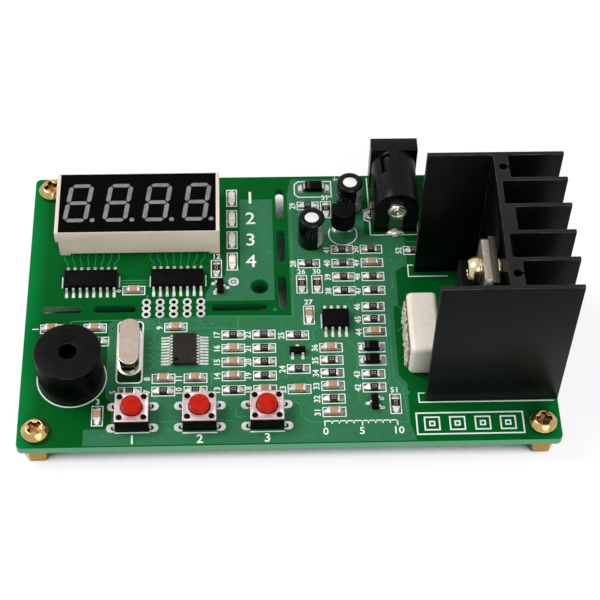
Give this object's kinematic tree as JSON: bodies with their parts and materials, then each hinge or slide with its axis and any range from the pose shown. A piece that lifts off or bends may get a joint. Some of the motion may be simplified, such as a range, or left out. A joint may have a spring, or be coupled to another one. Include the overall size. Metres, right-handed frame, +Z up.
{
  "type": "dc electronic load",
  "caption": "Open-frame electronic load: green circuit board on brass standoffs with digit display, push switches, buzzer, power jack, load terminals and a finned black heat sink.",
  "frame": {"origin": "centre of the board's outline, on the plane that the standoffs stand on", "axes": "+X to the right along the board, +Y to its back edge, +Z up"},
  "size_m": [0.097, 0.062, 0.0391],
  "materials": {
    "solder_mask": "glossy green solder mask over copper",
    "brass": "polished brass",
    "display_white": "satin white moulding",
    "display_black": "smooth black face film",
    "display_segment": "diffusing grey resin",
    "fibre_board": "plain fibre board",
    "tinned_metal": "bright tin plate",
    "moulding_black": "fine matt moulding compound",
    "resistor_black": "glazed black film",
    "ceramic_tan": "fired tan ceramic",
    "indicator_base": "white reflector resin",
    "indicator_lens": "milky clear resin",
    "can_steel": "nickel plated steel",
    "quartz": "polished quartz",
    "buzzer_black": "fine textured black moulding",
    "yoke_steel": "plain steel",
    "copper_wire": "enamelled copper wire",
    "switch_black": "black moulding",
    "cover_steel": "bright stamped steel",
    "button_red": "satin red moulding",
    "jack_black": "satin black moulding",
    "can_aluminium": "bright drawn aluminium",
    "sleeve_black": "glossy shrink sleeve",
    "anodised_black": "black anodised extrusion",
    "tab_metal": "tinned copper tab",
    "spreader_grey": "plain milled aluminium",
    "ceramic_white": "unglazed white ceramic",
    "terminal_green": "green moulding",
    "clamp_brass": "nickel washed brass"
  },
  "bodies": {
    "board_assembly": {"circuit_board": "solder_mask", "standoffs": "brass", "corner_screws": "brass", "display_case": "display_white", "display_face": "display_black", "display_segments": "display_segment", "display_board": "fibre_board", "display_pins": "tinned_metal", "shift_register_bodies": "moulding_black", "controller_body": "moulding_black", "op_amp_body": "moulding_black", "ic_leads": "tinned_metal", "transistor_bodies": "moulding_black", "transistor_leads": "tinned_metal", "diode_bodies": "moulding_black", "diode_leads": "tinned_metal", "chip_resistors": "resistor_black", "chip_capacitors": "ceramic_tan", "chip_ends": "tinned_metal", "indicator_bases": "indicator_base", "indicator_lenses": "indicator_lens", "crystal_can": "can_steel", "crystal_header": "can_steel", "crystal_blank": "quartz", "buzzer_case": "buzzer_black", "buzzer_base": "yoke_steel", "buzzer_magnet": "yoke_steel", "buzzer_coil": "copper_wire", "buzzer_diaphragm": "yoke_steel", "buzzer_leads": "tinned_metal", "switch_bases": "switch_black", "switch_covers": "cover_steel", "switch_domes": "cover_steel", "switch_leads": "tinned_metal", "jack_housing": "jack_black", "jack_center_pin": "can_steel", "jack_contacts": "tinned_metal", "capacitor_cans": "can_aluminium", "capacitor_sleeves": "sleeve_black", "capacitor_leads": "tinned_metal", "regulator_body": "moulding_black", "regulator_leads": "tinned_metal", "heat_sink": "anodised_black", "heat_sink_pins": "tinned_metal", "power_transistor_body": "moulding_black", "power_transistor_tab": "tab_metal", "power_transistor_leads": "tinned_metal", "spreader_plate": "spreader_grey", "tab_fasteners": "brass", "sense_resistor": "ceramic_white", "sense_resistor_leads": "tinned_metal", "terminal_block": "terminal_green", "terminal_contacts": "tinned_metal"},
    "left_button": {"left_button": "button_red"},
    "middle_button": {"middle_button": "button_red"},
    "right_button": {"right_button": "button_red"},
    "left_clamp_screw": {"left_clamp_screw": "can_steel"},
    "right_clamp_screw": {"right_clamp_screw": "can_steel"},
    "left_clamp_cage": {"left_clamp_cage": "clamp_brass"},
    "right_clamp_cage": {"right_clamp_cage": "clamp_brass"}
  },
  "joints": [
    {"name": "left_button_press", "type": "slide", "parent": "board_assembly", "child": "left_button", "axis": [0, 0, -1], "range_m": [0, 0.00025], "stiffness_N_per_m": 2000},
    {"name": "middle_button_press", "type": "slide", "parent": "board_assembly", "child": "middle_button", "axis": [0, 0, -1], "range_m": [0, 0.00025], "stiffness_N_per_m": 2000},
    {"name": "right_button_press", "type": "slide", "parent": "board_assembly", "child": "right_button", "axis": [0, 0, -1], "range_m": [0, 0.00025], "stiffness_N_per_m": 2000},
    {"name": "left_clamp_turn", "type": "hinge", "parent": "board_assembly", "child": "left_clamp_screw", "pos_m": [0.03296, 0.0233, 0.0136], "axis": [0, 0, -1], "range_deg": [0, 865]},
    {"name": "left_clamp_lift", "type": "slide", "parent": "board_assembly", "child": "left_clamp_cage", "axis": [0, 0, 1], "range_m": [0, 0.0012]},
    {"name": "right_clamp_turn", "type": "hinge", "parent": "board_assembly", "child": "right_clamp_screw", "pos_m": [0.03804, 0.0233, 0.0136], "axis": [0, 0, -1], "range_deg": [0, 865]},
    {"name": "right_clamp_lift", "type": "slide", "parent": "board_assembly", "child": "right_clamp_cage", "axis": [0, 0, 1], "range_m": [0, 0.0012]}
  ],
  "couplings": [
    {"joint": "left_clamp_turn", "follows": "left_clamp_lift", "rad_per_m": 12566},
    {"joint": "right_clamp_turn", "follows": "right_clamp_lift", "rad_per_m": 12566}
  ]
}
